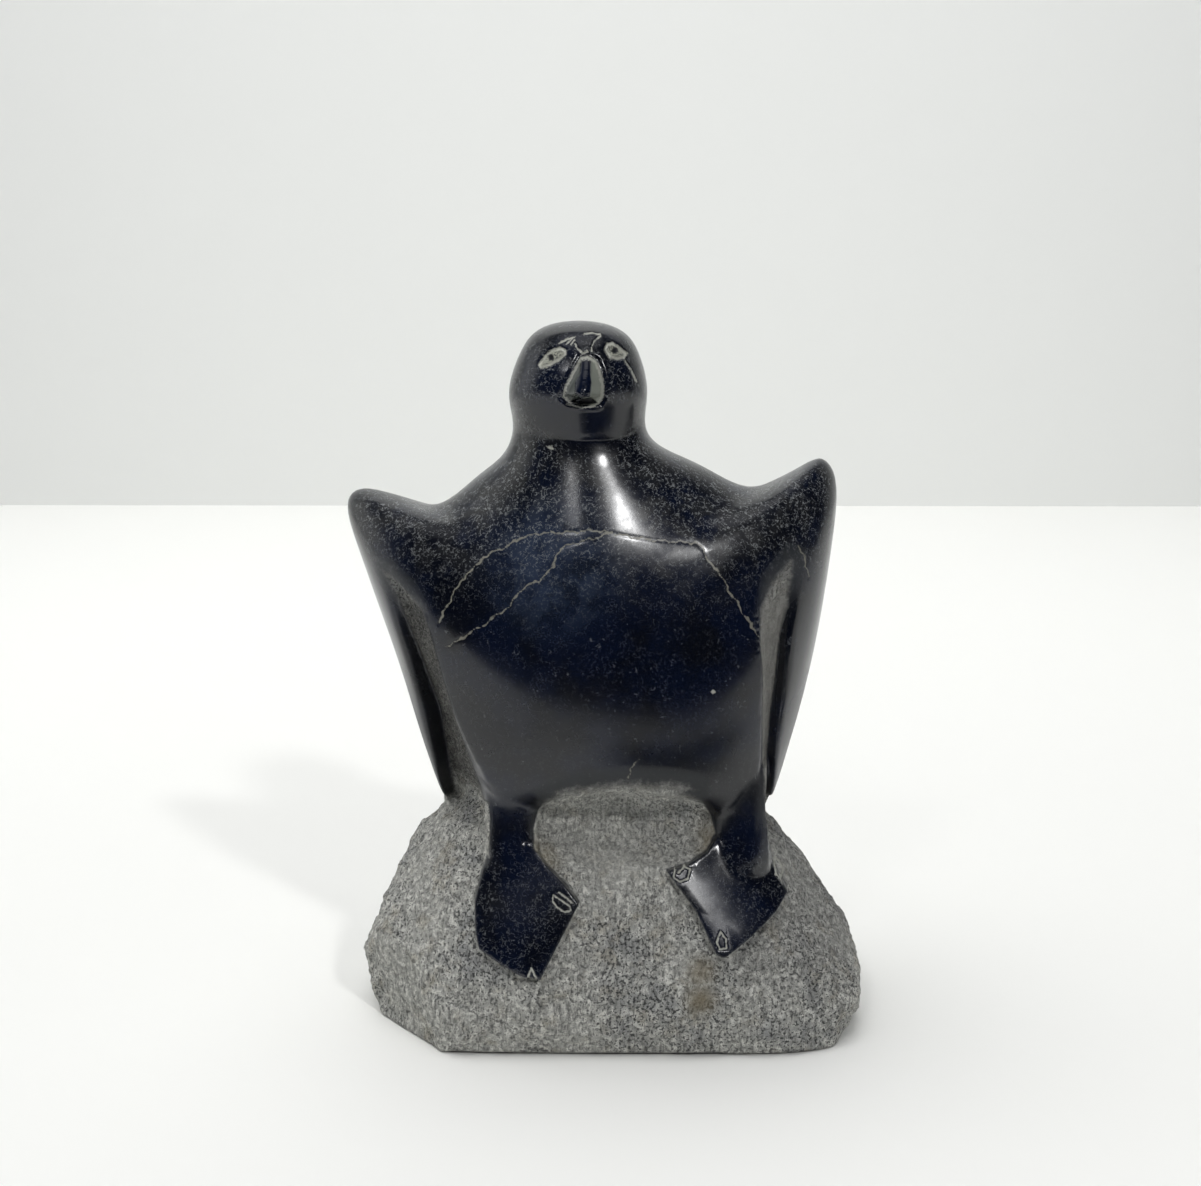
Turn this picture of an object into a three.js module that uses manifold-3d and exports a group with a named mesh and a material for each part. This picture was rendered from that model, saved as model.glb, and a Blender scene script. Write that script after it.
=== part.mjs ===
// A hand-carved soapstone bird, cut in one piece with the boulder it perches on.
// Millimetres, +Z up. The bird looks along -Y and its right-hand wing, as one faces it, points along +X.
// The origin is the middle of the flat underside.
import * as THREE from "three";
import { mergeVertices } from "three/addons/utils/BufferGeometryUtils.js";
import Module from "manifold-3d";

const wasm = await Module();
wasm.setup();

// ---------------------------------------------------------------- driving dimensions

// The bird is a skin over four outlines that share their stations, from the crown down into the boulder:
// its right and left edges seen from the front as [x, z], its breast and back seen from the side as [y, z].
const bird = {
  columns: 52,
  rowsPerStation: 3,
  right: [
    [-8, 165], [-1, 164], [4.6, 160], [7.8, 150], [7.2, 141], [10.5, 136], [20, 131.5], [32, 125.6],
    [42, 129], [49.3, 132.4], [53.4, 126], [52.4, 110], [48.6, 86], [43, 64], [37, 47], [26, 36], [0, 34],
  ],
  left: [
    [-8, 165], [-15, 164], [-20.4, 160], [-24.4, 149.5], [-23.4, 140.5], [-25.8, 134],
    [-32, 128.8], [-42, 121.3], [-52, 123.6], [-60.5, 125], [-64.2, 120.5], [-60.6, 108],
    [-52.4, 84], [-45.8, 62], [-39.4, 47], [-28, 36], [0, 34],
  ],
  breast: [
    [-3, 165], [-9, 164], [-15, 160.5], [-19.2, 151], [-17, 141.5], [-16, 137],
    [-19.6, 128], [-23.8, 118], [-26.4, 110], [-28, 103], [-29, 97], [-30.2, 88],
    [-31, 77], [-30.6, 67], [-26.6, 58.4], [-12, 52], [0, 34],
  ],
  back: [
    [-3, 165], [4, 164], [9.5, 160], [13.4, 150], [13.8, 139], [15.4, 132],
    [18.6, 123], [21.4, 114], [23, 107], [24, 101], [24.6, 95], [25, 86],
    [24.8, 75], [25, 63], [28, 50], [20, 40], [0, 34],
  ],
  // How far back the two edges lie, and how full the skin is between the outlines: 2 is an ellipse.
  edgeDepth: [-3, -2.5, -2, -1, 0, 1, 2, 4, 6, 8, 9, 10, 10, 10, 10, 10, 0],
  fullness: [2, 2, 2.15, 2.2, 2.1, 2, 1.85, 1.7, 1.6, 1.6, 1.7, 1.95, 2.2, 2.5, 2.9, 2.7, 2],
};

// The boulder is skinned the same way, from its hidden top down through the ground, where it is cut flat.
const boulder = {
  columns: 52,
  rowsPerStation: 2,
  right: [
    [0, 62], [20, 58.5], [33, 51], [42.5, 40.5], [51.5, 28],
    [58.6, 16], [60.2, 8], [57, 0], [50, -8], [0, -12],
  ],
  left: [
    [0, 62], [-20, 59.5], [-35, 52.5], [-47, 42], [-55.4, 29],
    [-59.4, 17], [-60, 8], [-56, 0], [-48, -8], [0, -12],
  ],
  breast: [
    [0, 62], [-19, 60.5], [-24, 52], [-27.6, 41], [-32.6, 30],
    [-36.6, 18], [-37.6, 8], [-35.2, 0], [-30, -8], [0, -12],
  ],
  back: [
    [0, 62], [15, 58], [25, 50], [32, 39], [36.6, 27],
    [38.6, 16], [38, 7], [35, 0], [30, -8], [0, -12],
  ],
  edgeDepth: [0, 0, 0, 0, 0, 0, 0, 0, 0, 0],
  fullness: [2, 2, 2.1, 2.3, 2.6, 3.2, 4.2, 5.5, 5.5, 5.5],
};

// Where the boulder split from the bed, planes take off its corners: the way each faces, how far it leans up
// from level, and how far it stands from the point on the axis at mid height.
const splitHeight = 14;
const splitReach = 120;
const splits = [
  { facing: 219, lean: -5, distance: 53.2 },
  { facing: 203, lean: -24, distance: 57.5 },
  { facing: 322, lean: -10, distance: 60.5 },
  { facing: 342, lean: -26, distance: 58.5 },
  { facing: 40, lean: 12, distance: 60 },
  { facing: 128, lean: 6, distance: 57 },
  { facing: 97, lean: 28, distance: 37 },
  { facing: 76, lean: -14, distance: 37.5 },
  { facing: 12, lean: 24, distance: 54.5 },
  { facing: 170, lean: 26, distance: 55 },
];

// Beside the belly a furrow frees each wing. Every station gives its height, then the crisp edge of the
// belly, the wing's edge and the bottom of the furrow as [x, y].
const furrowReach = 2;
const furrowRowsPerStation = 5;
const leftFurrow = [
  { z: 108, belly: [-52.6, -10.8], wing: [-53.3, -10.2], bottom: [-53, -9.6] },
  { z: 104.6, belly: [-47.6, -15.2], wing: [-52.6, -10.5], bottom: [-51.2, -9.6] },
  { z: 100.5, belly: [-43.4, -18.2], wing: [-51.8, -10.6], bottom: [-49.6, -9.4] },
  { z: 94, belly: [-41.1, -20], wing: [-50, -11], bottom: [-47, -9] },
  { z: 86, belly: [-39, -20.6], wing: [-47.8, -11], bottom: [-44.2, -8.2] },
  { z: 75, belly: [-35.9, -20.9], wing: [-44.6, -10.6], bottom: [-40.8, -6.6] },
  { z: 64, belly: [-32.4, -19.6], wing: [-41.8, -9], bottom: [-39.4, -4.4] },
  { z: 54, belly: [-29.6, -15], wing: [-40, -3], bottom: [-38.6, 1] },
  { z: 44, belly: [-28.4, -8], wing: [-38, 4], bottom: [-37, 7] },
];
const rightFurrow = [
  { z: 111, belly: [40.4, -13.2], wing: [41.3, -12.2], bottom: [40.9, -11.8] },
  { z: 107, belly: [36.2, -16.3], wing: [41.6, -12.4], bottom: [40.6, -11.6] },
  { z: 101, belly: [33.2, -19.2], wing: [41.2, -13], bottom: [39.9, -11.6] },
  { z: 94, belly: [33.2, -20.3], wing: [40, -14.2], bottom: [38.3, -12.2] },
  { z: 86, belly: [33.9, -20.5], wing: [39.4, -14.4], bottom: [37.6, -12.4] },
  { z: 76, belly: [34.1, -19.8], wing: [38.2, -14.4], bottom: [36.5, -12] },
  { z: 66, belly: [34.5, -16.6], wing: [37.2, -12.8], bottom: [36, -9.6] },
  { z: 56, belly: [35.2, -10], wing: [37, -7], bottom: [36, -4] },
  { z: 46, belly: [35.8, -1], wing: [37, 1], bottom: [36.2, 4] },
];

// A shallow dish is scooped out of the boulder between the legs, under the belly.
const dish = { center: [2.6, -27, 50.9], size: [29, 9, 8.7], columns: 36, rows: 18 };

// The legs are short round columns that run down out of the belly into the feet, skinned like the bird.
const legColumns = 18;
const legRowsPerStation = 2;
const leftLeg = {
  columns: legColumns,
  rowsPerStation: legRowsPerStation,
  right: [
    [-24, 68], [-18.4, 64], [-17.4, 58], [-18, 52],
    [-17.6, 46.5], [-14.6, 41.5], [-17.5, 35], [-22.5, 31],
  ],
  left: [
    [-24, 68], [-28.8, 64], [-29.2, 58], [-28.5, 52],
    [-29, 46.5], [-30.8, 41.5], [-29.5, 35], [-22.5, 31],
  ],
  breast: [
    [-14, 68], [-20, 64], [-22.8, 58], [-23.2, 52],
    [-25, 46.5], [-27, 41.5], [-29.3, 35], [-26, 31],
  ],
  back: [
    [-14, 68], [-8, 64], [-6, 58], [-4, 52],
    [-6, 46.5], [-10, 41.5], [-16, 35], [-26, 31],
  ],
  edgeDepth: [-14, -13, -13, -14, -17, -20, -25, -26],
  fullness: [2, 2.2, 2.6, 2.5, 2.3, 2.1, 2, 2],
};
const rightLeg = {
  columns: legColumns,
  rowsPerStation: legRowsPerStation,
  right: [
    [29, 68], [32.8, 64], [34.6, 58], [35.4, 52],
    [36.4, 46.5], [37.6, 42], [34.5, 36.5], [28, 33],
  ],
  left: [
    [29, 68], [23.4, 64], [22.4, 58], [23.4, 52],
    [21.8, 46.5], [17.4, 42], [20, 36.5], [28, 33],
  ],
  breast: [
    [-14, 68], [-19, 64], [-21.4, 58], [-21.6, 52],
    [-22.9, 46.5], [-24.3, 42], [-26.8, 36.5], [-24, 33],
  ],
  back: [
    [-14, 68], [-6, 64], [-4, 58], [-2, 52],
    [-4, 46.5], [-8, 42], [-14, 36.5], [-24, 33],
  ],
  edgeDepth: [-14, -11, -10, -10, -12, -16, -22, -24],
  fullness: [2, 2.2, 2.6, 2.5, 2.3, 2.1, 2, 2],
};

// Each webbed foot lies over the boulder as a thin plate with three toes, drawn from the front as [x, z].
const footProud = 2;
const footDepths = [-60, 0];
const leftFoot = [
  [-28.3, 48], [-30.4, 40.3], [-31.8, 35], [-31.5, 28.8], [-30.6, 25.3], [-21, 19.9],
  [-16.3, 19.4], [-12.8, 26], [-7.6, 35.4], [-10.9, 39.2], [-15.1, 42.9], [-18.5, 48],
];
const rightFoot = [
  [35.6, 48], [37.4, 40.1], [40.8, 34.5], [37.5, 31.3], [31.6, 27.5], [25.2, 23.6],
  [23.2, 24.5], [18.7, 33.4], [12, 41.8], [16.8, 42.8], [21.6, 45.2], [24, 48],
];

// The beak is a ridge skinned like the bird, widening downwards to a hooked tip over a short mouth.
const beak = {
  columns: 16,
  rowsPerStation: 2,
  right: [[-6.2, 158.8], [-4.4, 157], [-2.9, 154.3], [-2.2, 151], [-2.3, 149], [-6.6, 148.2]],
  left: [[-6.2, 158.8], [-7.8, 157], [-9.4, 154.3], [-11, 151], [-11.5, 149], [-6.6, 148.2]],
  breast: [[-15.8, 158.8], [-19, 157], [-21.8, 154.3], [-23.9, 151.4], [-24.2, 149.5], [-19, 148.2]],
  back: [[-15.8, 158.8], [-13, 157], [-12, 154.3], [-12, 151], [-13, 149], [-19, 148.2]],
  edgeDepth: [-15.8, -15.6, -15.8, -16.4, -17, -19],
  fullness: [2, 1.7, 1.5, 1.5, 1.7, 2],
};
const mouth = { center: [-6.6, -21.4, 147.7], size: [3.6, 4.6, 0.7], columns: 18, rows: 8 };
const lip = { center: [-6.6, -17.4, 146.6], size: [4.4, 2, 0.7], columns: 18, rows: 8 };

// The eyes are almonds sunk a little into the face: their middle as [x, z], length, width and turn.
const eyeDepth = 0.5;
const faceDepths = [-40, -5];
const leftEye = { center: [-14.4, 157.4], length: 6.2, width: 2.9, turn: 29 };
const rightEye = { center: [0.3, 158.5], length: 5.2, width: 3, turn: -13 };

// On the plain back two shallow trenches part the wings from the tail, which fans out onto the boulder.
// Each is drawn from the front as a closed outline of [x, z].
const trenchDepth = 2.6;
const backDepths = [5, 60];
const leftTrench = [
  [-37, 116], [-31, 104], [-24.5, 86], [-20.5, 68], [-20, 40], [-27.5, 40], [-26, 66], [-30, 85], [-35, 104],
];
const rightTrench = [
  [34, 118], [32.5, 105], [27.5, 86], [23.5, 66], [25, 40], [17.5, 40], [18, 68], [22, 86], [28.5, 105],
];

// The ground that cuts the underside flat.
const ground = { width: 300, depth: 60 };

// ---------------------------------------------------------------- shapes

/** A closed three.js geometry as a manifold-3d solid. */
function solidOf(geometry) {
  const bare = geometry.clone();
  bare.deleteAttribute("normal");
  bare.deleteAttribute("uv");
  const merged = mergeVertices(bare, 1e-4);
  return new wasm.Manifold(
    new wasm.Mesh({
      numProp: 3,
      vertProperties: new Float32Array(merged.attributes.position.array),
      triVerts: new Uint32Array(merged.index.array),
    }),
  );
}

/** A manifold-3d solid as a three.js geometry with flat faces. */
function geometryOf(solid) {
  const { vertProperties, triVerts } = solid.getMesh();
  const geometry = new THREE.BufferGeometry();
  geometry.setAttribute("position", new THREE.BufferAttribute(vertProperties, 3));
  geometry.setIndex(new THREE.BufferAttribute(triVerts, 1));
  const flat = geometry.toNonIndexed();
  flat.computeVertexNormals();
  return flat;
}

const { lerp, degToRad } = THREE.MathUtils;
const curveThrough = (points) => new THREE.SplineCurve(points.map(([a, b]) => new THREE.Vector2(a, b)));

/** A value along a list of stations, with t from 0 to 1. */
function along(values, t) {
  const place = t * (values.length - 1);
  const index = Math.min(Math.floor(place), values.length - 2);
  return lerp(values[index], values[index + 1], place - index);
}

/** A closed skin over four outlines: a sphere whose rows and columns are carried onto them. */
function skin(form) {
  const rows = (form.right.length - 1) * form.rowsPerStation;
  const [right, left, breast, back] = [form.right, form.left, form.breast, form.back].map(curveThrough);
  const geometry = new THREE.SphereGeometry(1, form.columns, rows);
  const { position, uv } = geometry.attributes;
  for (let i = 0; i < position.count; i++) {
    const t = 1 - uv.getY(i);
    const turn = (uv.getX(i) % 1) * 2 * Math.PI;
    const across = -Math.cos(turn);
    const forward = Math.sin(turn);
    const power = 2 / along(form.fullness, t);
    const edge = (across < 0 ? left : right).getPoint(t);
    const middle = (right.getPoint(t).x + left.getPoint(t).x) / 2;
    const face = (forward > 0 ? breast : back).getPoint(t);
    const edgeDepth = along(form.edgeDepth, t);
    const x = lerp(middle, edge.x, Math.abs(across) ** power);
    const y = lerp(edgeDepth, face.x, Math.abs(forward) ** power);
    const z = lerp(edge.y, face.y, forward ** 2);
    position.setXYZ(i, x, y, z);
  }
  return geometry;
}

/** A bar of three-cornered sections: its three edges are curves through the given points. */
function bar(edges, rows) {
  const curves = edges.map((points) => new THREE.CatmullRomCurve3(points));
  const geometry = new THREE.CylinderGeometry(1, 1, 1, 3, rows);
  const { position } = geometry.attributes;
  for (let i = 0; i < position.count; i++) {
    const [x, y, z] = [position.getX(i), position.getY(i), position.getZ(i)];
    const section = curves.map((curve) => curve.getPoint(0.5 - y));
    const corner = Math.round((Math.atan2(x, z) / (2 * Math.PI) + 1) * 3) % 3;
    const middle = section[0].clone().add(section[1]).add(section[2]).divideScalar(3);
    const place = Math.hypot(x, z) < 0.5 ? middle : section[corner];
    position.setXYZ(i, place.x, place.y, place.z);
  }
  return geometry;
}

/** The cutter for a furrow beside the belly: its two walls carried on past the surface to the open air. */
function furrowCutter(stations) {
  const lowEdge = stations.map(({ z, bottom }) => new THREE.Vector3(...bottom, z));
  const openEdge = (side) =>
    stations.map((station, i) => {
      const edge = new THREE.Vector3(...station[side], station.z);
      return edge.lerp(lowEdge[i], -furrowReach);
    });
  const bellyIsRight = stations[1].belly[0] > stations[1].wing[0];
  const [leftSide, rightSide] = bellyIsRight ? ["wing", "belly"] : ["belly", "wing"];
  const rows = (stations.length - 1) * furrowRowsPerStation;
  return bar([lowEdge, openEdge(leftSide), openEdge(rightSide)], rows);
}

/** An ellipsoid at a place, with its half sizes. */
function ellipsoid({ center, size, columns, rows }) {
  const geometry = new THREE.SphereGeometry(1, columns, rows);
  geometry.scale(...size);
  geometry.translate(...center);
  return geometry;
}

/** An outline drawn from the front, run through from one depth to another. */
function frontPrism(shape, [nearY, farY]) {
  const depth = farY - nearY;
  const geometry = new THREE.ExtrudeGeometry(shape, { depth, bevelEnabled: false, curveSegments: 6 });
  geometry.rotateX(Math.PI / 2);
  geometry.translate(0, farY, 0);
  return geometry;
}

/** A big block whose near face is a plane that faces the given way and leans up from level. */
function splitCutter({ facing, lean, distance }) {
  const geometry = new THREE.BoxGeometry(splitReach, splitReach * 2, splitReach * 2);
  geometry.translate(distance + splitReach / 2, 0, 0);
  geometry.rotateY(degToRad(-lean));
  geometry.rotateZ(degToRad(facing));
  geometry.translate(0, 0, splitHeight);
  return geometry;
}

/** An almond between two points, drawn from the front. */
function almond({ center, length, width, turn }) {
  const angle = degToRad(turn);
  const direction = new THREE.Vector2(Math.cos(angle), Math.sin(angle)).multiplyScalar(length / 2);
  const bulge = new THREE.Vector2(-direction.y, direction.x).normalize().multiplyScalar(width);
  const middle = new THREE.Vector2(...center);
  const start = middle.clone().sub(direction);
  const end = middle.clone().add(direction);
  const upper = middle.clone().add(bulge);
  const lower = middle.clone().sub(bulge);
  const shape = new THREE.Shape();
  shape.moveTo(start.x, start.y);
  shape.quadraticCurveTo(lower.x, lower.y, end.x, end.y);
  shape.quadraticCurveTo(upper.x, upper.y, start.x, start.y);
  return shape;
}

const polygon = (points) => new THREE.Shape(points.map(([x, z]) => new THREE.Vector2(x, z)));

// ---------------------------------------------------------------- the carving

const groundBlock = new THREE.BoxGeometry(ground.width, ground.width, ground.depth);
groundBlock.translate(0, 0, -ground.depth / 2);

let stone = solidOf(skin(boulder));
for (const split of splits) {
  stone = stone.subtract(solidOf(splitCutter(split)));
}

// The feet lie between the boulder and the same boulder grown by their thickness.
const grownBoulder = skin(boulder);
const halfWidth = Math.max(...boulder.right.map(([x]) => x));
const halfDepth = Math.max(...boulder.breast.map(([y]) => -y));
const height = boulder.right[0][1];
const growth = (size) => 1 + footProud / size;
grownBoulder.scale(growth(halfWidth), growth(halfDepth), growth(height));
const foot = (outline) => solidOf(frontPrism(polygon(outline), footDepths)).intersect(solidOf(grownBoulder));

let body = solidOf(skin(bird));
body = body.subtract(solidOf(furrowCutter(leftFurrow)));
body = body.subtract(solidOf(furrowCutter(rightFurrow)));

// A hollow of even depth: what lies inside the outline and outside the skin moved back by that depth.
const hollow = (shape, depths, shift) => {
  const moved = skin(bird);
  moved.translate(0, shift, 0);
  return solidOf(frontPrism(shape, depths)).subtract(solidOf(moved));
};
body = body.subtract(hollow(almond(leftEye), faceDepths, eyeDepth));
body = body.subtract(hollow(almond(rightEye), faceDepths, eyeDepth));
body = body.subtract(hollow(polygon(leftTrench), backDepths, -trenchDepth));
body = body.subtract(hollow(polygon(rightTrench), backDepths, -trenchDepth));

body = body.add(solidOf(ellipsoid(lip)));
body = body.add(solidOf(skin(beak)));
body = body.subtract(solidOf(ellipsoid(mouth)));

let carving = body.add(stone);
carving = carving.subtract(solidOf(ellipsoid(dish)));
carving = carving.add(foot(leftFoot));
carving = carving.add(foot(rightFoot));
carving = carving.add(solidOf(skin(leftLeg)));
carving = carving.add(solidOf(skin(rightLeg)));
carving = carving.subtract(solidOf(groundBlock));

// ---------------------------------------------------------------- the part

const blackSoapstone = new THREE.MeshStandardMaterial({ color: 0x15161c, roughness: 0.25, metalness: 0 });

const part = new THREE.Group();
const mesh = new THREE.Mesh(geometryOf(carving), blackSoapstone);
mesh.name = "bird_carving";
part.add(mesh);

export default part;
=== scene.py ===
# A soapstone bird carved in one with its boulder: polished near-black above, rasped grey stone below.
# Places and sizes in the dictionaries are in millimetres. Pairs are (x, z), as seen from the front.
import bpy
import math
import numpy as np
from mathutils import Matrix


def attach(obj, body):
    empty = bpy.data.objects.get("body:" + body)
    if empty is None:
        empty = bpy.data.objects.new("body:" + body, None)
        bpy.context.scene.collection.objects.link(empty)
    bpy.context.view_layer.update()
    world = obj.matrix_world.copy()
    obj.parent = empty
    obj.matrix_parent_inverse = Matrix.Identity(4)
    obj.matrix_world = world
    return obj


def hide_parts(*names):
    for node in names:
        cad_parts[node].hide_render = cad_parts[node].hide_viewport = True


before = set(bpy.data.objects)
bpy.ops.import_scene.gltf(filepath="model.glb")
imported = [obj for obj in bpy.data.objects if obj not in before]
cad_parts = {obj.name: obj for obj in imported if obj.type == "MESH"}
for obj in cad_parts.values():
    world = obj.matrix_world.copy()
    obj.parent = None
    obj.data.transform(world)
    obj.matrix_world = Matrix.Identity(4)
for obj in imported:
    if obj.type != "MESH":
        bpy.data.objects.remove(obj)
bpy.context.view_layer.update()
mm = 0.001
scene = bpy.context.scene
print("frame loaded")


# small helpers for modelling

def pickOnly(obj):
    bpy.ops.object.select_all(action="DESELECT")
    obj.select_set(True)
    bpy.context.view_layer.objects.active = obj


def applied(obj, kind, **settings):
    pickOnly(obj)
    modifier = obj.modifiers.new(kind.title(), kind)
    for name, value in settings.items():
        setattr(modifier, name, value)
    bpy.ops.object.modifier_apply(modifier=modifier.name)


def pointsOf(obj):  # in millimetres
    flat = np.empty(len(obj.data.vertices) * 3, dtype=np.float32)
    obj.data.vertices.foreach_get("co", flat)
    return flat.reshape(-1, 3).astype(float) / mm


def normalsOf(obj):
    flat = np.empty(len(obj.data.vertices) * 3, dtype=np.float32)
    obj.data.vertex_normals.foreach_get("vector", flat)
    return flat.reshape(-1, 3).astype(float)


def moveTo(obj, points):
    obj.data.vertices.foreach_set("co", (points * mm).astype(np.float32).ravel())
    obj.data.update()


def paintGroup(obj, name, weights):  # in even steps, because a group takes one weight at a time
    steps = 20
    group = obj.vertex_groups.new(name=name)
    level = np.rint(np.clip(weights, 0, 1) * steps).astype(int)
    for step in range(1, steps + 1):
        group.add(np.flatnonzero(level == step).tolist(), step / steps, "REPLACE")


def pickParts(obj, kind, chosen):  # leaves only the chosen vertices or faces selected, in edit mode
    pickOnly(obj)
    bpy.ops.object.mode_set(mode="EDIT")
    bpy.ops.mesh.select_mode(type=kind)
    bpy.ops.mesh.select_all(action="DESELECT")
    bpy.ops.object.mode_set(mode="OBJECT")
    parts = obj.data.vertices if kind == "VERT" else obj.data.polygons
    parts.foreach_set("select", chosen)
    bpy.ops.object.mode_set(mode="EDIT")


def keepAttribute(obj, name, values):
    attribute = obj.data.attributes.new(name, "FLOAT", "POINT")
    attribute.data.foreach_set("value", values.astype(np.float32))


# distances, all in millimetres, that say where each finish and each carved line is

def ramp(value, low, high):
    t = np.clip((value - low) / (high - low), 0, 1)
    return t * t * (3 - 2 * t)


def closed(path):
    return path + path[:1]


def lineDistance(spots, path):  # how far each spot is from an open line
    best = np.full(len(spots), 1e9)
    for start, end in zip(path[:-1], path[1:]):
        a, b = np.array(start, float), np.array(end, float)
        t = np.clip(((spots - a) @ (b - a)) / ((b - a) @ (b - a)), 0, 1)
        best = np.minimum(best, np.linalg.norm(spots - (a + t[:, None] * (b - a)), axis=1))
    return best


def insideDistance(spots, outline):  # positive inside a closed outline, negative outside
    inside = np.zeros(len(spots), bool)
    loop = closed(outline)
    for (x1, z1), (x2, z2) in zip(loop[:-1], loop[1:]):
        if z1 == z2:
            continue
        crosses = (z1 > spots[:, 1]) != (z2 > spots[:, 1])
        at = (x2 - x1) * (spots[:, 1] - z1) / (z2 - z1) + x1
        inside ^= crosses & (spots[:, 0] < at)
    return np.where(inside, 1, -1) * lineDistance(spots, loop)


# the carving

carving = dict(
    voxel=0.4,
    finalTriangles=188000,
    bellyEdge=[(-70, 51.5), (-39.8, 51.5), (-29.4, 56), (-17.8, 58), (-12.2, 60.5), (-6.5, 61.9),
               (-0.5, 62.8), (5.9, 63), (11.5, 62.6), (17.1, 61.4), (22.1, 57.6), (36, 53), (70, 50)],
    leftLegAndFoot=[(-29.2, 62), (-28.3, 52), (-28.4, 46.2), (-30.4, 40.3), (-31.8, 35), (-31.5, 28.8),
                    (-30.6, 25.3), (-21, 19.9), (-16.3, 19.4), (-12.8, 26), (-7.6, 35.4), (-10.9, 39.2),
                    (-15.1, 42.9), (-18.2, 46.5), (-18.4, 50), (-17.4, 54), (-14.8, 57.3), (-12, 61),
                    (-17.8, 62)],
    rightLegAndFoot=[(36, 62), (35.6, 48), (37.4, 40.1), (40.8, 34.5), (37.5, 31.3), (31.6, 27.5),
                     (25.2, 23.6), (23.2, 24.5), (18.7, 33.4), (12, 41.8), (16.8, 42.8), (21.6, 45.2),
                     (23.6, 48.5), (22.4, 53), (20.6, 56.4), (15, 61), (22.6, 62)],
    leftRidge=[(-52.6, 108), (-47.6, 104.6), (-43.4, 100.5), (-41.1, 94), (-39, 86), (-35.9, 75),
               (-32.4, 64), (-29.6, 54), (-28.4, 44)],
    leftFurrow=[(-53.0, 108), (-51.2, 104.6), (-49.6, 100.5), (-47, 94), (-44.2, 86), (-40.8, 75),
                (-39.4, 64), (-38.6, 54), (-37, 44)],
    leftWingEdge=[(-53.4, 108), (-52.6, 104.6), (-52.4, 100.5), (-50.6, 94), (-48.6, 86), (-46, 75),
                  (-43, 64), (-40.6, 54)],
    rightRidge=[(40.4, 111), (36.2, 107), (33.2, 101), (33.2, 94), (33.9, 86), (34.1, 76), (34.5, 66),
                (35.2, 56), (35.8, 46)],
    rightFurrow=[(40.9, 111), (40.6, 107), (39.9, 101), (38.3, 94), (37.6, 86), (36.5, 76), (36, 66),
                 (36, 56), (36.2, 46)],
    rightWingEdge=[(41.4, 111), (41.8, 107), (41.6, 101), (40.6, 94), (40, 86), (38.8, 76), (37.6, 66),
                   (37.2, 56)],
    # the front of each leg: its middle and its depth at the top and at the foot of it
    leftLegFront=dict(across=(-23.4, -24.2), depth=(-23, -29.4), tall=(61, 37)),
    rightLegFront=dict(across=(29.2, 29.8), depth=(-20.8, -26.9), tall=(61, 37)),
    # both are filled this far to each side, and over this share of the way down
    legs=dict(halfWidth=6.5, rounding=0.09, filled=(-0.1, 0.85), inFrontOf=-8),
    footTop=46,
    backSeam=47.5,  # where the polish ends on the back
    roughening=(("lumps", 12, 3.0), ("knocks", 4, 1.5), ("rasping", 1.3, 0.7)),  # size and depth of each
)

# what is carved and drawn on the face
face = dict(
    leftEye=[(-10.8, 158.9), (-11.9, 159.5), (-13.7, 158.9), (-15.3, 157.6), (-16.8, 155.6),
             (-16.2, 155.1), (-14.4, 155.6), (-12.4, 156.7), (-10.8, 158)],
    rightEye=[(-2, 159.1), (-1.5, 160.2), (-0.4, 160.4), (1.3, 159.3), (2.7, 158), (2.2, 157.1),
              (0.7, 156.9), (-0.9, 157.3)],
    pupils=[(-14, 157.3), (0.2, 158.7)],
    beak=[(-5.9, 157.8), (-7.5, 157.4), (-9.2, 154.3), (-11, 151), (-11.4, 148.8), (-9.9, 147.7),
          (-7.5, 147.1), (-4.8, 146.9), (-3.3, 147.3), (-2.4, 148.8), (-2.2, 151), (-2.9, 154.3),
          (-3.9, 156.7)],
    ridge=[(-6.3, 157.7), (-7.2, 156.8), (-7.4, 154), (-8.4, 152.3), (-8.4, 150.1), (-7, 149.2),
           (-5.3, 149.4), (-5, 152.3), (-5.2, 154), (-5.2, 156.8)],
    mouth=[(-9.9, 147.9), (-8.2, 148.4), (-5.3, 148.6), (-3.5, 147.5), (-5.3, 147.2), (-8, 147.3)],
    strokes=[
        [(-12.4, 160.3), (-10.7, 161.2), (-8.7, 161.8)],
        [(-10.6, 160.2), (-9.3, 161.4)],
        [(-9.6, 160.1), (-8.8, 161.2)],
        [(-8.6, 160.4), (-8.2, 159.3), (-7.3, 158.7)],
        [(-7.1, 158.2), (-6, 158.7)],
        [(-3.1, 161.9), (-4.4, 160.9), (-5, 159.6), (-4.9, 158.8)],
        [(-6.7, 162.4), (-4.9, 162.6), (-3.1, 162.2)],
        [(2.4, 156.5), (3.7, 154.5), (5.1, 151.6)],
        [(-10.6, 147.3), (-8.5, 146.7), (-6.4, 146.5), (-4.2, 146.8)],
    ],
    patch=dict(middle=-6, halfWidth=12.5, tall=(145.5, 163.5), inFrontOf=-8),
    neckCrease=[(-17.6, 139.9), (-12, 139.5), (-6.5, 139), (-0.9, 138.8), (3.5, 139.2)],
)

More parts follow.
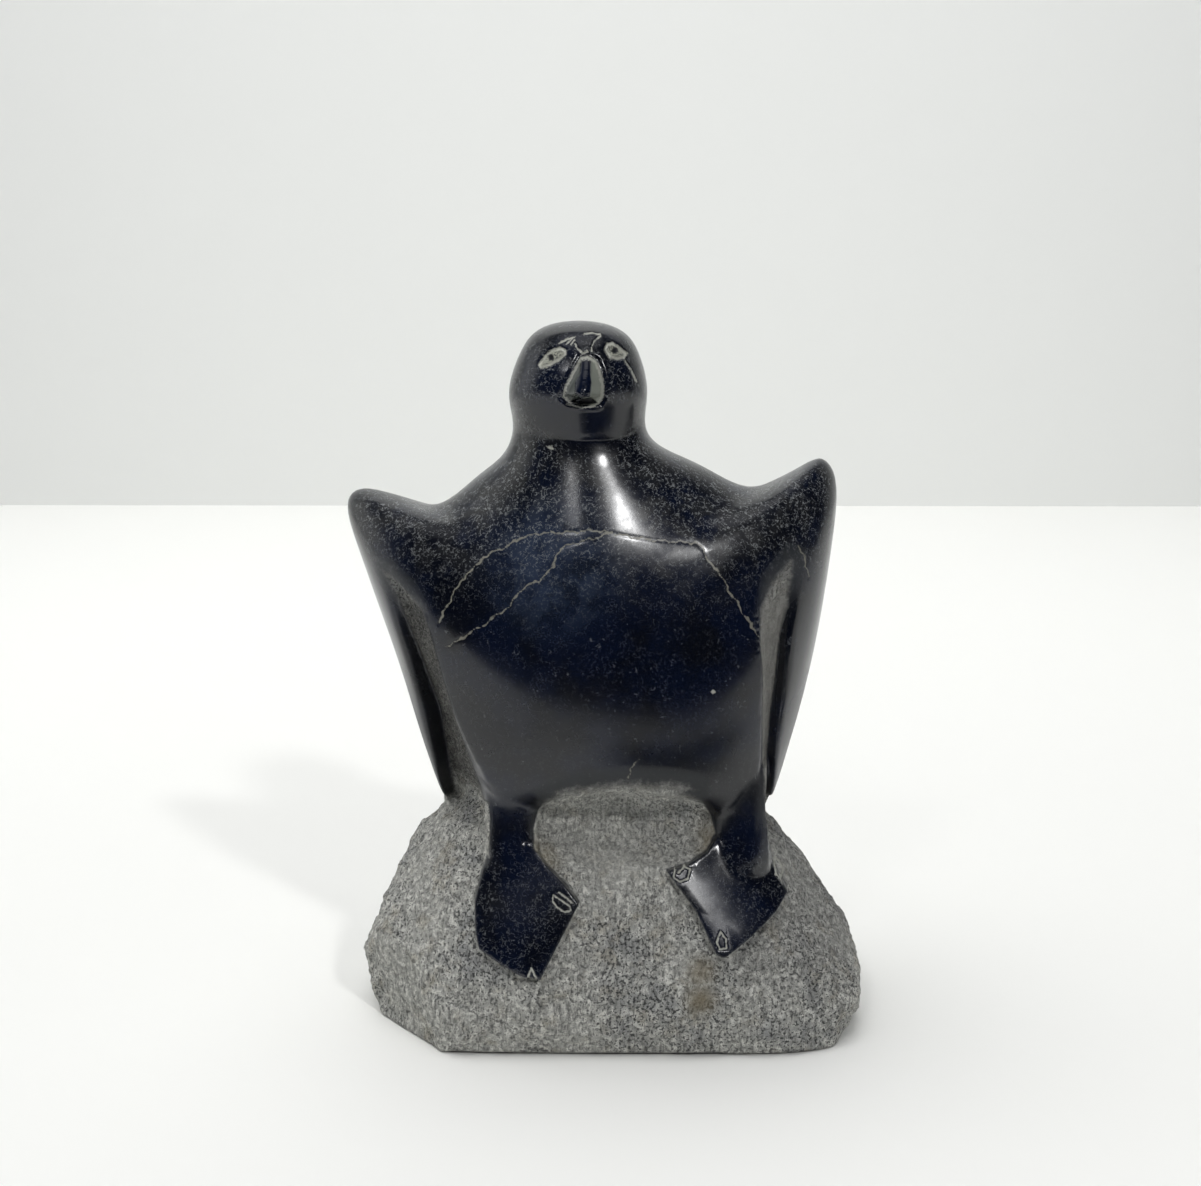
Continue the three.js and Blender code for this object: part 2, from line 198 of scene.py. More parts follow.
# toe tips, veins and grains in the stone
marks = dict(
    claws=[
        [(-13.6, 37.1), (-13.8, 36), (-12.7, 34.6), (-11, 33.7), (-9.6, 34), (-9.8, 34.9), (-11.2, 35.7),
         (-13.6, 37.1)],
        [(-12.4, 37.7), (-10.6, 36.6), (-9.2, 35.5)],
        [(-18.4, 21.9), (-19.1, 20.4), (-18.7, 18.7), (-17.5, 18.5), (-17.3, 19.9), (-18.4, 21.9)],
        [(14.1, 42), (13.7, 40.6), (15.1, 39.6), (16.9, 40.1), (17.6, 42), (16.2, 42.5), (14.8, 41.4)],
        [(38, 40.3), (37.8, 38.4), (39.5, 36.4), (40, 37.6), (39, 39.4), (38, 40.3)],
        [(24.3, 29.2), (23.4, 27.2), (24.1, 25.8), (25.7, 25.8), (25.5, 27.7), (24.3, 29.2)],
    ],
    veins=[
        [(-39.7, 97.7), (-37.4, 102.5), (-34.3, 107.8), (-29.2, 113), (-24.3, 115.5), (-20.2, 117.7),
         (-16, 118.8), (-11.1, 119.1), (-4.4, 119.7), (0.4, 118.8), (5.3, 117.9), (10.7, 117),
         (18.5, 116.2), (20.3, 114.6), (21.5, 111.9), (24.4, 108.7), (26.3, 105.1), (29.6, 99.8),
         (32, 96.1)],
        [(-37.7, 92.8), (-32.8, 96.1), (-28.7, 98.8), (-23.4, 102.7), (-20.2, 107), (-16, 109),
         (-13.5, 111.9), (-12, 115.8), (-8.6, 116.9), (-4.4, 117.9), (-0.4, 119.2)],
        [(30.1, 99.6), (32.6, 94.9)],
        [(42.6, 114.3), (44.1, 110.5), (45.1, 106.3)],
        [(3.1, 64.3), (4, 66.9), (5.4, 69)],
    ],
    grains=[(-7.1, 109.5, 0.9), (9.2, 122.4, 0.9), (-8.2, 101, 0.5), (-6.7, 98.4, 0.4), (-17.2, 97, 0.4),
            (-1.6, 92.5, 0.6), (22.5, 83.6, 0.7), (19.4, 76.3, 0.5), (-14.4, 137.1, 0.9), (28, 38, 0.7)],
)

# how far each carved line is cut in, or a form raised
relief = dict(ridge=0.75, flanks=0.35, beakEdge=0.45, mouth=0.9, eyeRims=0.3, eyeballs=0.15, pupils=0.3,
              strokes=0.2, neckCrease=0.3, claws=0.25, veins=0.05, footEdges=0.3)


def onFront(points, values, away):  # behind the front, where nothing is drawn, the value for away
    return np.where(points[:, 1] < 3, values, away)


def polishDistance(points):  # positive where the stone is polished, negative where it is left rough
    front = points[:, [0, 2]]
    above = insideDistance(front, carving["bellyEdge"] + [(70, 200), (-70, 200)])
    shown = np.maximum(above, insideDistance(front, carving["leftLegAndFoot"]))
    shown = np.maximum(shown, insideDistance(front, carving["rightLegAndFoot"]))
    for ridge, furrow in (("leftRidge", "leftFurrow"), ("rightRidge", "rightFurrow")):
        wall = carving[ridge] + carving[furrow][::-1]
        shown = np.minimum(shown, -insideDistance(front, wall))
    return onFront(points, shown, points[:, 2] - carving["backSeam"])


def borderSoftness(points):  # how gradually the polish runs out, in millimetres
    front = points[:, [0, 2]]
    underBelly = 1 - ramp(lineDistance(front, carving["bellyEdge"][4:10]), 2, 8)
    furrowEnds = np.maximum(ramp(points[:, 2], 92, 108), 1 - ramp(points[:, 2], 50, 66))
    furrowEnds = furrowEnds * ramp(np.abs(points[:, 0]), 28, 34) * (points[:, 2] > 50)
    return onFront(points, 0.35 + 2.6 * underBelly + 1.2 * furrowEnds, np.full(len(points), 1.5))


def nearLine(points, path, reach):  # 1 on a line drawn on the front, falling to 0 at its reach
    return onFront(points, 1 - ramp(lineDistance(points[:, [0, 2]], path), 0, reach), 0)


def nearAny(points, paths):
    return np.min([lineDistance(points[:, [0, 2]], path) for path in paths], axis=0)


def inFace(points):
    patch = face["patch"]
    beside = np.abs(points[:, 0] - patch["middle"]) < patch["halfWidth"]
    level = (points[:, 2] > patch["tall"][0]) & (points[:, 2] < patch["tall"][1])
    return beside & level & (points[:, 1] < patch["inFrontOf"])


def eyeDistance(front):
    return np.maximum(insideDistance(front, face["leftEye"]), insideDistance(front, face["rightEye"]))


def pupilDistance(front):
    return np.min([np.linalg.norm(front - np.array(spot), axis=1) for spot in face["pupils"]], axis=0)


def grainDistance(front):
    inside = [radius - np.linalg.norm(front - np.array((x, z)), axis=1) for x, z, radius in marks["grains"]]
    return np.max(inside, axis=0)


# the carving's mesh, from the solid: rounded between its sharp edges, then one even fine mesh
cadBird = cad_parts["bird_carving"]
pickOnly(cadBird)
bpy.ops.object.duplicate()
bird = bpy.context.active_object
bird.name = "carvedBird"
bird.data.name = "carvedBird"
bpy.ops.object.mode_set(mode="EDIT")
bpy.ops.mesh.select_all(action="SELECT")
bpy.ops.mesh.remove_doubles(threshold=0.01 * mm)
bpy.ops.mesh.tris_convert_to_quads(face_threshold=math.radians(25), shape_threshold=math.radians(50))
bpy.ops.mesh.select_all(action="DESELECT")
bpy.ops.mesh.select_mode(type="EDGE")
bpy.ops.mesh.edges_select_sharp(sharpness=math.radians(32))
bpy.ops.transform.edge_crease(value=0.9)
bpy.ops.object.mode_set(mode="OBJECT")
applied(bird, "SUBSURF", levels=2, render_levels=2)
applied(bird, "REMESH", mode="VOXEL", voxel_size=carving["voxel"] * mm)
print("carving remeshed:", len(bird.data.vertices), "vertices")

# the legs run straight down from the belly into the feet, rounded across
points = pointsOf(bird)
legs = carving["legs"]
for name in ("leftLegFront", "rightLegFront"):
    leg = carving[name]
    down = (leg["tall"][0] - points[:, 2]) / (leg["tall"][0] - leg["tall"][1])
    aside = points[:, 0] - (leg["across"][0] + (leg["across"][1] - leg["across"][0]) * down)
    depth = leg["depth"][0] + (leg["depth"][1] - leg["depth"][0]) * down + legs["rounding"] * aside ** 2
    on = (np.abs(aside) < legs["halfWidth"]) & (down > legs["filled"][0]) & (down < legs["filled"][1])
    on = on & (points[:, 1] < legs["inFrontOf"])
    points[:, 1] = np.where(on, np.minimum(points[:, 1], depth), points[:, 1])
moveTo(bird, points)

polish = polishDistance(points)
paintGroup(bird, "smooth", ramp(np.abs(polish), 0.6, 2.5))
applied(bird, "SMOOTH", factor=0.5, iterations=16, vertex_group="smooth")

# places that were rubbed round: the belly's lower edge, inside the legs and feet, the wings' inner edges
melt = nearLine(points, carving["bellyEdge"], 6)
melt = np.maximum(melt, nearLine(points, carving["leftWingEdge"], 4))
melt = np.maximum(melt, nearLine(points, carving["rightWingEdge"], 2.5))
for foot in ("leftLegAndFoot", "rightLegAndFoot"):
    inside = insideDistance(points[:, [0, 2]], carving[foot])
    melt = np.maximum(melt, np.where(points[:, 1] < 0, ramp(inside, 0.8, 2.5), 0))
paintGroup(bird, "melt", melt)
applied(bird, "SMOOTH", factor=0.5, iterations=140, vertex_group="melt")
paintGroup(bird, "boulder", ramp(-polish, 1, 4) * ramp(points[:, 2], 0.5, 4))
applied(bird, "SMOOTH", factor=0.5, iterations=40, vertex_group="boulder")
applied(bird, "SMOOTH", factor=0.5, iterations=3)
print("carving smoothed")

# a finer mesh where the face and the toe tips are cut
points = pointsOf(bird)
onClaw = (nearAny(points, marks["claws"]) < 0.9) & (points[:, 1] < 0)
pickParts(bird, "VERT", inFace(points) | onClaw)
bpy.ops.mesh.subdivide(number_cuts=1)
bpy.ops.object.mode_set(mode="OBJECT")
print("face and toes refined:", len(bird.data.vertices), "vertices")

# cuts and ridges pressed in along the surface: the beak, eyes, brows, mouth, neck, toe tips, veins
points = pointsOf(bird)
front = points[:, [0, 2]]
beak = insideDistance(front, face["beak"])
ridge = insideDistance(front, face["ridge"])
mouth = insideDistance(front, face["mouth"])
eyeLines = nearAny(points, [closed(face["leftEye"]), closed(face["rightEye"])])
height = relief["ridge"] * ramp(ridge, -0.5, 0.6)
height = height - relief["flanks"] * ramp(beak, 0.1, 0.9) * (1 - ramp(ridge, -0.6, 0))
height = height - relief["beakEdge"] * (1 - ramp(np.abs(beak + 0.3), 0.1, 0.9))
height = height - relief["mouth"] * ramp(mouth, -0.2, 0.4)
height = height - relief["eyeRims"] * (1 - ramp(eyeLines, 0.1, 0.5))
height = height + relief["eyeballs"] * ramp(eyeDistance(front), 0.2, 0.8)
height = height - relief["pupils"] * (1 - ramp(pupilDistance(front), 0.3, 0.75))
height = height - relief["strokes"] * (1 - ramp(nearAny(points, face["strokes"]), 0.06, 0.32))
height = height - relief["neckCrease"] * (1 - ramp(lineDistance(front, face["neckCrease"]), 0.2, 1.8))
height = height - relief["claws"] * (1 - ramp(nearAny(points, marks["claws"]), 0.1, 0.4))
height = height - relief["veins"] * (1 - ramp(nearAny(points, marks["veins"]), 0.1, 0.6))
polish = polishDistance(points)
footEdge = (1 - ramp(np.abs(polish + 0.7), 0.2, 1.1)) * (points[:, 2] < carving["footTop"])
footEdge = footEdge * (1 - ramp(borderSoftness(points), 0.5, 1))
height = height - relief["footEdges"] * footEdge
moveTo(bird, points + normalsOf(bird) * onFront(points, height, 0)[:, None])
print("face and toes cut")

# the boulder's broken and rasped surface
points = pointsOf(bird)
paintGroup(bird, "rough", ramp(-polish, 0, 2) * ramp(points[:, 2], 0.3, 3))
for name, size, strength in carving["roughening"]:
    cloud = bpy.data.textures.new(name, "CLOUDS")
    cloud.noise_scale = size * mm
    cloud.noise_depth = 2
    applied(bird, "DISPLACE", texture=cloud, texture_coords="LOCAL", strength=strength * mm, mid_level=0.58,
            vertex_group="rough")
print("boulder roughened")

# fewer triangles where nothing is drawn
points = pointsOf(bird)
bird.vertex_groups.clear()
drawn = nearAny(points, marks["veins"] + marks["claws"])
keep = inFace(points) | ((points[:, 1] < 0) & ((drawn < 1) | (np.abs(polishDistance(points)) < 0.7)))
paintGroup(bird, "free", 1 - keep)
ratio = carving["finalTriangles"] / sum(len(patch.vertices) - 2 for patch in bird.data.polygons)
if ratio < 1:
    applied(bird, "DECIMATE", ratio=ratio, vertex_group="free")
pickOnly(bird)
bpy.ops.object.shade_smooth()

# distances the stone's finish is drawn from, on a carving that goes no lower than its underside
points = pointsOf(bird)
points[:, 2] = np.maximum(points[:, 2], 0)
moveTo(bird, points)
front = points[:, [0, 2]]
shaken = points + 0.22 * np.sin(points[:, ::-1] * 1.5 + 1) + 0.12 * np.sin(points[:, ::-1] * 3.7)
keepAttribute(bird, "polish", polishDistance(points))
keepAttribute(bird, "soft", borderSoftness(points))
for name, values in (
        ("beak", insideDistance(front, face["beak"])),
        ("ridge", insideDistance(front, face["ridge"])),
        ("mouth", insideDistance(front, face["mouth"])),
        ("eye", eyeDistance(front)),
        ("pupil", -pupilDistance(front)),
        ("stroke", -nearAny(points, face["strokes"] + marks["claws"])),
        ("vein", -nearAny(shaken, marks["veins"])),
        ("grain", grainDistance(front))):
    keepAttribute(bird, name, onFront(points, values, -50))
print("carving finished:", sum(len(patch.vertices) - 2 for patch in bird.data.polygons), "triangles")

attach(bird, "root")
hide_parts("bird_carving")


# shader maths: an expression on wires adds the nodes that work it out

class Wire:
    def __init__(self, shader, socket):
        self.shader = shader
        self.socket = socket

    def maths(self, operation, first, second):
        return self.shader.node("ShaderNodeMath", {"operation": operation}, {0: first, 1: second})

    def __add__(self, other):
        return self.maths("ADD", self, other)

    def __radd__(self, other):
        return self.maths("ADD", other, self)

    def __sub__(self, other):
        return self.maths("SUBTRACT", self, other)

    def __rsub__(self, other):
        return self.maths("SUBTRACT", other, self)

    def __mul__(self, other):
        return self.maths("MULTIPLY", self, other)

    def __rmul__(self, other):
        return self.maths("MULTIPLY", other, self)

    def __truediv__(self, other):
        return self.maths("DIVIDE", self, other)

    def __abs__(self):
        return self.maths("ABSOLUTE", self, 0.0)

    def most(self, other):
        return self.maths("MAXIMUM", self, other)


class Shader:
    def __init__(self, owner):
        owner.use_nodes = True
        self.nodes = owner.node_tree.nodes
        self.links = owner.node_tree.links
        self.nodes.clear()

    def node(self, kind, settings=None, sockets=None, output=0):
        made = self.nodes.new(kind)
        for name, value in (settings or {}).items():
            setattr(made, name, value)
        for name, value in (sockets or {}).items():
            if isinstance(value, Wire):
                self.links.new(value.socket, made.inputs[name])
            else:
                made.inputs[name].default_value = value
        if not made.outputs:
            return None
        return Wire(self, made.outputs[output])

    def fade(self, value, low, high, bottom=0.0, top=1.0):  # soft step from bottom to top
        return self.node("ShaderNodeMapRange", {"interpolation_type": "SMOOTHSTEP"},
                         {"Value": value, "From Min": low, "From Max": high,
                          "To Min": bottom, "To Max": top})

    def blend(self, mask, first, second):  # colours
        return self.node("ShaderNodeMix", {"data_type": "RGBA"},
                         {0: mask, 6: (*first, 1) if isinstance(first, tuple) else first,
                          7: (*second, 1) if isinstance(second, tuple) else second}, output=2)

    def axes(self, vector):
        split = self.node("ShaderNodeSeparateXYZ", None, {0: vector}).socket.node
        return [Wire(self, output) for output in split.outputs]

    def noise(self, place, size, detail=3.0, roughness=0.55):  # lumps of the given size in millimetres
        return self.node("ShaderNodeTexNoise", None,
                         {"Vector": place, "Scale": 1 / size, "Detail": detail, "Roughness": roughness})


stone = dict(
    navy=(0.0016, 0.0024, 0.0058),
    blue=(0.0022, 0.005, 0.017),
    brown=(0.019, 0.0195, 0.020),
    # greyish haze of a less polished finish, also used as a painted sheen on the outer lower wings
    hazeAndSheen=(0.035, 0.038, 0.040),
    fleck=(0.31, 0.325, 0.33),
    # painted reflection: a blue sheen laid on the left of the chest
    sky=(0.028, 0.042, 0.078),
    chalk=(0.52, 0.52, 0.46),
    eyeFill=(0.36, 0.365, 0.30),
    beakPale=(0.22, 0.235, 0.20),
    vein=(0.27, 0.26, 0.21),
    rockPale=(0.78, 0.775, 0.72),
    rockMid=(0.40, 0.40, 0.372),
    rockBlue=(0.24, 0.25, 0.26),
    rockDark=(0.028, 0.030, 0.032),
    # painted shade: the left furrow's floor is near black as shade in the recess; the right furrow is a
    # paler grey
    leftFurrow=(0.016, 0.0155, 0.014),
    rightFurrow=(0.30, 0.295, 0.27),
    band=(0.11, 0.11, 0.105),
    yellow=(0.34, 0.29, 0.19),
    rust=(0.20, 0.165, 0.10),
)


class StoneShader(Shader):  # with the places, noises and kept distances that the whole finish is drawn from
    def __init__(self, owner):
        super().__init__(owner)
        metres = self.node("ShaderNodeTexCoord", output="Object")
        self.place = self.node("ShaderNodeVectorMath", {"operation": "SCALE"}, {0: metres, "Scale": 1 / mm})
        self.across, _, self.tall = self.axes(self.place)
        self.cloud = self.noise(self.place, 16, 3)
        self.patch = self.noise(self.place, 5, 3, 0.6)
        self.grain = self.noise(self.place, 1.1, 3, 0.7)
        self.fine = self.noise(self.place, 0.5, 2, 0.7)
        self.soft = self.kept("soft")
        self.edge = self.kept("polish") / self.soft
        self.onHead = self.near((-6, -18, 152), 13, 19)

    def kept(self, name):
        return self.node("ShaderNodeAttribute", {"attribute_name": name}, output="Fac")

    def near(self, point, low, high):  # 1 around a point, falling to 0 between two distances
        apart = self.node("ShaderNodeVectorMath", {"operation": "DISTANCE"},
                          {0: self.place, 1: point}, "Value")
        return self.fade(apart, low, high, 1.0, 0.0)


def crowding(shader):  # how closely the flecks stand: most on the shoulders, some on the feet and cheeks
    tall = shader.tall
    crowd = shader.fade(tall, 98, 124, 0.09, 1.0).most(shader.fade(tall, 44, 50, 0.35, 0.0))
    crowd = crowd * shader.fade(shader.patch, 0.3, 0.6, 0.45, 1.0)
    cheeks = shader.fade(tall, 146.5, 149) * shader.fade(tall, 156, 162, 1.0, 0.35)
    crowd = crowd * (1.0 - shader.onHead * (1.0 - cheeks * 0.8))
    return crowd * shader.fade(shader.kept("beak"), -0.6, 0.2, 1.0, 0.0)


def polishedColour(shader, crowd, frostAndSheen, hazy):  # navy to brown black under fine curled flecks, with a painted blue sheen on the chest's left and a partly painted sheen on the outer lower wings
    tall, patch, grain = shader.tall, shader.patch, shader.grain
    dark = shader.blend(shader.fade(shader.cloud, 0.40, 0.62), stone["navy"], stone["blue"])
    brownish = shader.fade(patch, 0.42, 0.62) * shader.fade(tall, 98, 122) * (1.0 - shader.onHead)
    dark = shader.blend(brownish * 0.75, dark, stone["brown"])
    # painted reflection: a blue sheen on the chest's left, the room mirrored in the polish
    paintedBlueSheen = shader.near((-14, -26, 113), 5, 22) * shader.fade(patch, 0.35, 0.6, 0.3, 0.8)
    dark = shader.blend(paintedBlueSheen, dark, stone["sky"])
    curls = shader.noise(shader.place, 1.2, 2, 0.6)
    curled = shader.fade(abs(curls - 0.5), 0.0, 0.045, 1.0, 0.0) * shader.fade(grain, 0.44, 0.56)
    specks = shader.fade(shader.fine, 0.60, 0.68) * shader.fade(grain, 0.40, 0.55)
    dust = shader.fade(shader.noise(shader.place, 1.9, 4, 0.8), 0.62, 0.70)
    dark = shader.blend(crowd * (curled * 0.7 + specks * 0.45), dark, stone["fleck"])
    dark = shader.blend(dust * 0.25, dark, stone["fleck"])
    # outer lower wings: a duller finish, with the colour lifted towards grey as a painted sheen
    dark = shader.blend(frostAndSheen * 0.5, dark, stone["hazeAndSheen"])
    return shader.blend(hazy * 0.75, dark, stone["hazeAndSheen"])


def roughColour(shader, mottle, pits, rasp):  # pale and blue-grey mottle, dark grains, warm patches, stain, with painted shade on the right, a painted pool of light in the hollow between the legs and painted shade in the left furrow
    across, tall, cloud, fine = shader.across, shader.tall, shader.cloud, shader.fine
    pale = shader.blend(shader.fade(mottle, 0.42, 0.58), stone["rockMid"], stone["rockPale"])
    pale = shader.blend(shader.fade(cloud, 0.5, 0.7) * 0.6, pale, stone["rockBlue"])
    pale = shader.blend(shader.fade(shader.patch, 0.52, 0.72) * 0.35, pale, stone["yellow"])
    clusters = shader.fade(shader.noise(shader.place, 1.7, 4, 0.75), 0.56, 0.62)
    sparkle = shader.fade(fine, 0.66, 0.72)
    rough = shader.blend(pits * 0.9, pale, stone["rockDark"])
    rough = shader.blend(rasp * 0.38, rough, stone["rockDark"])
    rough = shader.blend(clusters * 0.45, rough, stone["rockDark"])
    rough = shader.blend(sparkle * 0.8, rough, stone["rockPale"])
    # painted shade: darker towards the right side above the foot, because the light comes from the left
    paintedShadeOnRight = shader.fade(across, 10, 50, 0.0, 0.3) * shader.fade(tall, 8, 22)
    rough = shader.blend(paintedShadeOnRight, rough, stone["rockDark"])
    # painted light: the hollow between the legs is lightened like a pool of light falling from the front
    # and above
    rough = shader.blend(shader.near((2, -24, 51), 6, 20) * 0.35, rough, stone["rockPale"])
    underBelly = shader.fade(shader.kept("polish"), -5, 0) * shader.fade(shader.soft, 1.2, 2.6)
    rough = shader.blend(underBelly * 0.3, rough, stone["band"])
    warm = shader.near((-17, -27, 45), 1.5, 8).most(shader.near((23, -24, 49), 2, 8))
    rough = shader.blend(warm * 0.55, rough, stone["yellow"])
    stain = shader.near((20, -37, 21), 1, 6).most(shader.near((20, -38, 14.5), 1, 6))
    rough = shader.blend(stain * 0.85, rough, stone["rust"])
    # painted shade: the left furrow is painted near black as shade in the recess, the right one a paler
    # grey
    inFurrow = shader.fade(abs(across), 29, 31) * shader.fade(tall, 52, 60)
    inFurrow = inFurrow * shader.fade(tall, 98, 106, 1.0, 0.35)
    furrow = shader.blend(shader.fade(across, -1, 1), stone["leftFurrow"], stone["rightFurrow"])
    return shader.blend(inFurrow * shader.fade(fine, 0.35, 0.6, 0.96, 0.72), rough, furrow)


def markedColour(shader, colour):  # what is scratched, drawn or left pale on the polish
    patch, grain, fine = shader.patch, shader.grain, shader.fine
    broken = (grain - 0.5) * 0.5 + (fine - 0.5) * 0.5
    eyes, beak = shader.kept("eye"), shader.kept("beak")
    strokes = shader.fade(shader.kept("stroke") + broken * 1.1, -0.26, -0.10)
    farSide = shader.fade(shader.across, -7.6, -6.4)
    vein = shader.fade(shader.kept("vein") + (grain - 0.5) * 0.5, -0.27, -0.09)
    vein = vein * shader.fade(patch, 0.3, 0.5, 0.5, 1.0)
    eye = shader.fade(eyes + broken * 2.4 + (grain - 0.5) * 1.3, -0.2, 0.2)
    eyeEdge = shader.fade(abs(eyes - 0.1) + broken * 1.8, 0.1, 0.4, 1.0, 0.0)
    pupil = shader.fade(shader.kept("pupil") + (grain - 0.5) * 1.6, -0.95, -0.5)
    besideRidge = shader.fade(shader.kept("ridge") + broken * 0.4, -0.25, 0.05, 1.0, 0.0)
    flank = shader.fade(beak + broken * 2.2, -0.15, 0.35) * besideRidge * (farSide * 0.6 + 0.4)
    rim = shader.fade(abs(beak - 0.25) + broken * 2, 0.1, 0.45, 1.0, 0.0)
    mouth = shader.fade(shader.kept("mouth"), -0.2, 0.1)
    grains = shader.fade(shader.kept("grain") + broken * 0.6, -0.1, 0.15)
    colour = shader.blend(vein * 0.8, colour, stone["vein"])
    colour = shader.blend(flank, colour, stone["beakPale"])
    colour = shader.blend((strokes * 0.85).most(rim * 0.6), colour, stone["chalk"])
    colour = shader.blend(eye * shader.fade(fine, 0.43, 0.53, 0.2, 0.95), colour, stone["eyeFill"])
    colour = shader.blend(eyeEdge * shader.fade(grain, 0.3, 0.5, 0.5, 1.0), colour, stone["chalk"])
    colour = shader.blend(pupil.most(mouth), colour, stone["navy"])
    colour = shader.blend(grains * 0.85, colour, stone["chalk"])
    scuffed = strokes.most(eye).most(flank * (farSide * 0.7 + 0.3)).most(vein * 0.5)
    return colour, strokes, scuffed


def makeStone():
    material = bpy.data.materials.new("soapstone")
    shader = StoneShader(material)
    place, tall, patch, grain = shader.place, shader.tall, shader.patch, shader.grain
    polished = shader.fade(shader.edge + (patch - 0.5) * 0.9 + (grain - 0.5) * 1.1, -0.9, 0.6)

    crowd = crowding(shader)
    # outer lower wings: duller there, and greyed as a painted sheen
    frostAndSheen = shader.fade(abs(shader.across), 36, 50) * shader.fade(tall, 100, 60)
    hazy = shader.fade(shader.edge, 0.4, 3.2, 1.0, 0.0) * shader.fade(shader.soft, 0.8, 2.0, 0.25, 1.0)
    dark = polishedColour(shader, crowd, frostAndSheen, hazy)

    mottle = shader.noise(place, 1.3, 4, 0.75)
    pits = shader.fade(shader.noise(place, 0.65, 3, 0.65), 0.53, 0.575)
    pits = pits * shader.fade(shader.cloud, 0.35, 0.6, 0.6, 1.0)
    streaks = shader.node("ShaderNodeMapping", None,
                          {"Vector": place, "Rotation": (0, 0.5, 0), "Scale": (2.2, 1.4, 0.35)})
    rasp = shader.fade(shader.noise(streaks, 1.3, 3, 0.65), 0.55, 0.64)
    rough = roughColour(shader, mottle, pits, rasp)

    colour, strokes, scuffed = markedColour(shader, shader.blend(polished, rough, dark))

    # roughness: glossy on the polish, duller on the chin, the lower belly and whatever is scratched
    chin = shader.onHead * shader.fade(tall, 144, 148, 1.0, 0.0)
    satin = shader.fade(tall, 66, 88, 1.0, 0.0) * shader.fade(tall, 48, 56)
    shine = shader.node("ShaderNodeMix", {"data_type": "FLOAT"}, {0: polished, 2: 0.85, 3: 0.17})
    shine = shine + polished * (crowd * 0.08 + hazy * 0.35 + frostAndSheen * 0.2 + (patch - 0.5) * 0.12)
    shine = shine + polished * (chin * 0.04 + satin * 0.12) + scuffed * 0.35

    rasped = grain * 0.5 + mottle * 0.7 - pits * 0.3 - rasp * 0.2
    flecked = shader.fine * 0.006 * crowd - strokes * 0.05
    height = shader.node("ShaderNodeMix", {"data_type": "FLOAT"}, {0: polished, 2: rasped, 3: flecked})
    bump = shader.node("ShaderNodeBump", None, {"Strength": 1.0, "Distance": 0.001, "Height": height})
    surface = shader.node("ShaderNodeBsdfPrincipled", None,
                          {"Base Color": colour, "Roughness": shine, "Normal": bump, "IOR": 1.58})
    shader.node("ShaderNodeOutputMaterial", None, {"Surface": surface})
    return material


bird.data.materials.clear()
bird.data.materials.append(makeStone())
print("stone finish made")


# camera, floor, wall, light

view = dict(distance=407.5, height=181.6, down=11.2, aside=0.44, lens=52.5, sensor=36)
bpy.ops.object.camera_add(
    location=(0, -view["distance"] * mm, view["height"] * mm),
    rotation=(math.radians(90 - view["down"]), 0, math.radians(view["aside"])))
camera = bpy.context.active_object
camera.name = "camera"
camera.data.lens = view["lens"]
camera.data.sensor_width = view["sensor"]
camera.data.clip_start = 0.01
scene.camera = camera
scene.view_settings.view_transform = "Standard"

room = dict(frontEdge=-460, backEdge=830, halfWidth=1500, wallHeight=1400,
            openingAcross=(2, 260), openingAlong=(-280, -98),
            floorColour=(0.93, 0.93, 0.90), wallColour=(0.86, 0.87, 0.85),
            dark=(0.010, 0.014, 0.026), pale=(0.84, 0.85, 0.83), overhead=(0.75, 0.76, 0.78))


def plainFinish(name, colour, roughness):
    material = bpy.data.materials.new(name)
    shader = Shader(material)
    surface = shader.node("ShaderNodeBsdfPrincipled", None,
                          {"Base Color": (*colour, 1), "Roughness": roughness, "Specular IOR Level": 0.15})
    shader.node("ShaderNodeOutputMaterial", None, {"Surface": surface})
    return material


bpy.ops.mesh.primitive_grid_add(x_subdivisions=3, y_subdivisions=3, size=2)
floor = bpy.context.active_object
floor.name = "floor"
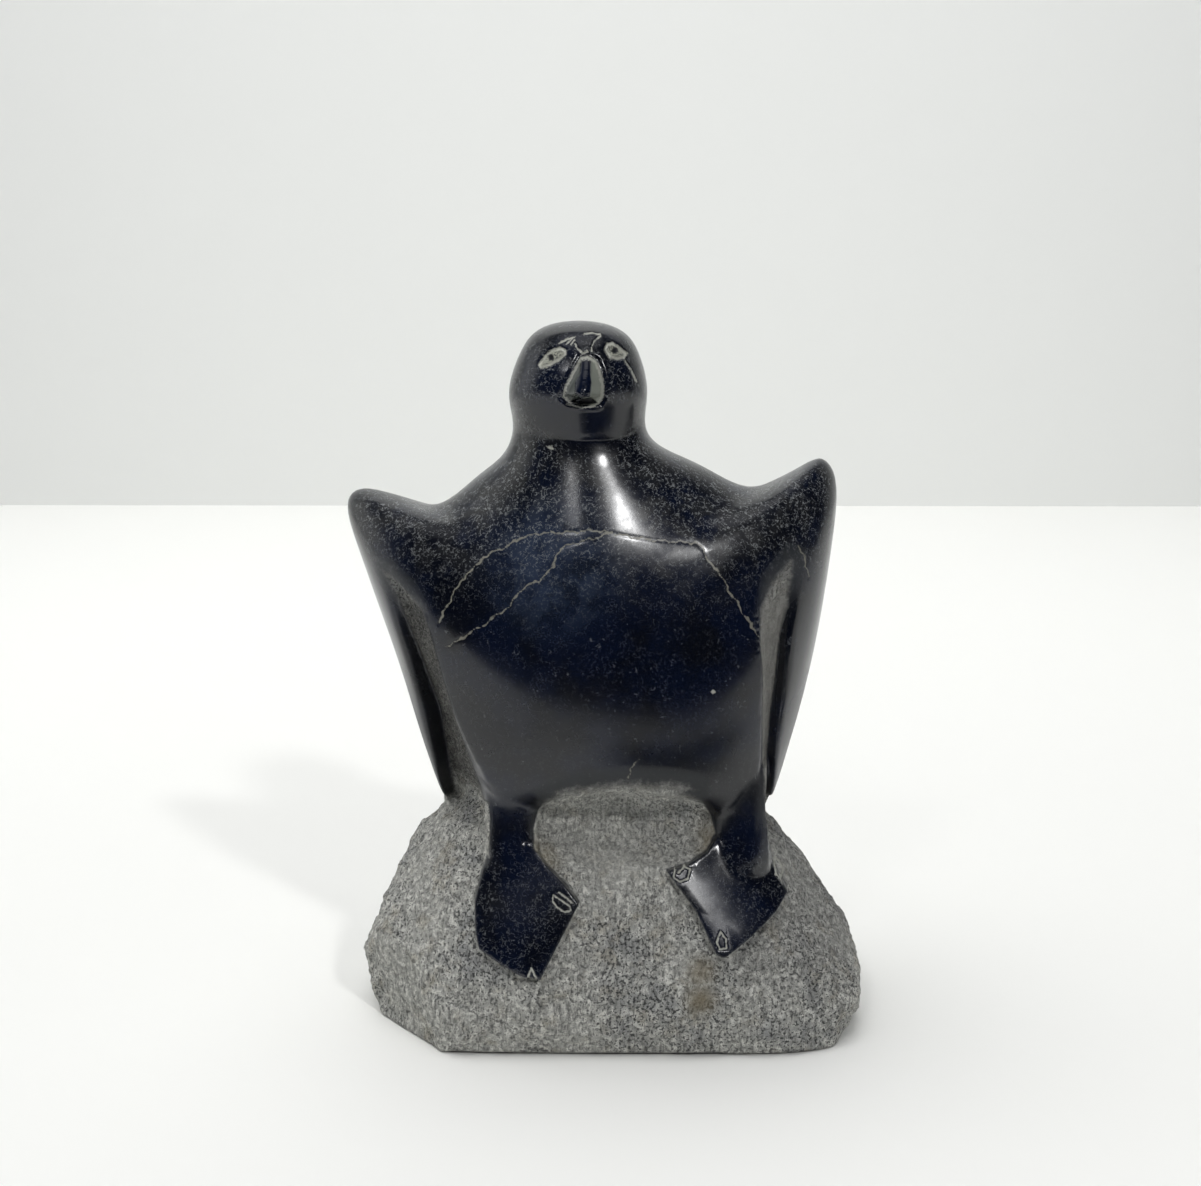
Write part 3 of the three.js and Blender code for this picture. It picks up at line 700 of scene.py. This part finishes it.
# the opening, out of the picture in front on the right, keeps that side of the chin dark
columns = [-room["halfWidth"], *room["openingAcross"], room["halfWidth"]]
rows = [room["frontEdge"], *room["openingAlong"], room["backEdge"]]
moveTo(floor, np.array([(x, y, 0) for y in rows for x in columns], float))
pickParts(floor, "FACE", [tile.index == 4 for tile in floor.data.polygons])
bpy.ops.mesh.delete(type="FACE")
bpy.ops.object.mode_set(mode="OBJECT")
floor.data.materials.append(plainFinish("paleFloor", room["floorColour"], 0.6))
bpy.ops.mesh.primitive_plane_add(size=2, rotation=(math.radians(90), 0, 0))
wall = bpy.context.active_object
wall.name = "wall"
wall.scale = (room["halfWidth"] * mm, room["wallHeight"] / 2 * mm, 1)
wall.location = (0, room["backEdge"] * mm, room["wallHeight"] / 2 * mm)
bpy.ops.object.transform_apply(location=True, rotation=True, scale=True)
wall.data.materials.append(plainFinish("paleWall", room["wallColour"], 0.8))

# name: place and aim in metres, size in metres, power in watts
lamps = dict(
    key=dict(place=(-0.32, 0.05, 1.5), aim=(0, 0, 0.05), size=1.6, power=16.8, spread=180),
    wallWash=dict(place=(0.05, 0.3, 0.95), aim=(0.05, 0.83, 0.5), size=1.2, power=1.7, spread=100),
    frontRight=dict(place=(0.53, -0.98, 0.96), aim=(0, 0, 0.08), size=0.09, power=5, spread=180),
    frontLeft=dict(place=(-0.38, -1.03, 1.02), aim=(0, 0, 0.08), size=0.16, power=1.35, spread=180),
)
for name, lamp in lamps.items():
    bpy.ops.object.light_add(type="AREA", location=lamp["place"])
    light = bpy.context.active_object
    light.name = name
    light.data.shape = "SQUARE"
    light.data.size = lamp["size"]
    light.data.energy = lamp["power"]
    light.data.spread = math.radians(lamp["spread"])
    light.visible_glossy = name != "key"  # the pale overhead sky is what the polish shows
    away = [a - b for a, b in zip(lamp["aim"], lamp["place"])]
    flat = math.hypot(away[0], away[1])
    light.rotation_euler = (math.atan2(flat, -away[2]), 0, math.atan2(-away[0], away[1]))

world = bpy.data.worlds.new("room")
scene.world = world
shader = Shader(world)
towards = shader.node("ShaderNodeTexCoord", output="Generated")
aside, depth, height = shader.axes(towards)
shown = shader.node("ShaderNodeLightPath", output="Is Camera Ray")
pale = shader.fade(depth - aside * 0.35, -0.05, 0.4) * shader.fade(height, 0.5, 0.85, 1.0, 0.12)
overhead = shader.fade(height, 0.86, 0.99)
sky = shader.blend(pale, room["dark"], room["pale"])
sky = shader.blend(overhead, sky, room["overhead"])
sky = shader.blend(shown, sky, room["pale"])
background = shader.node("ShaderNodeBackground", None, {"Color": sky, "Strength": 1.0})
shader.node("ShaderNodeOutputWorld", None, {"Surface": background})
print("camera, room and lamps set")
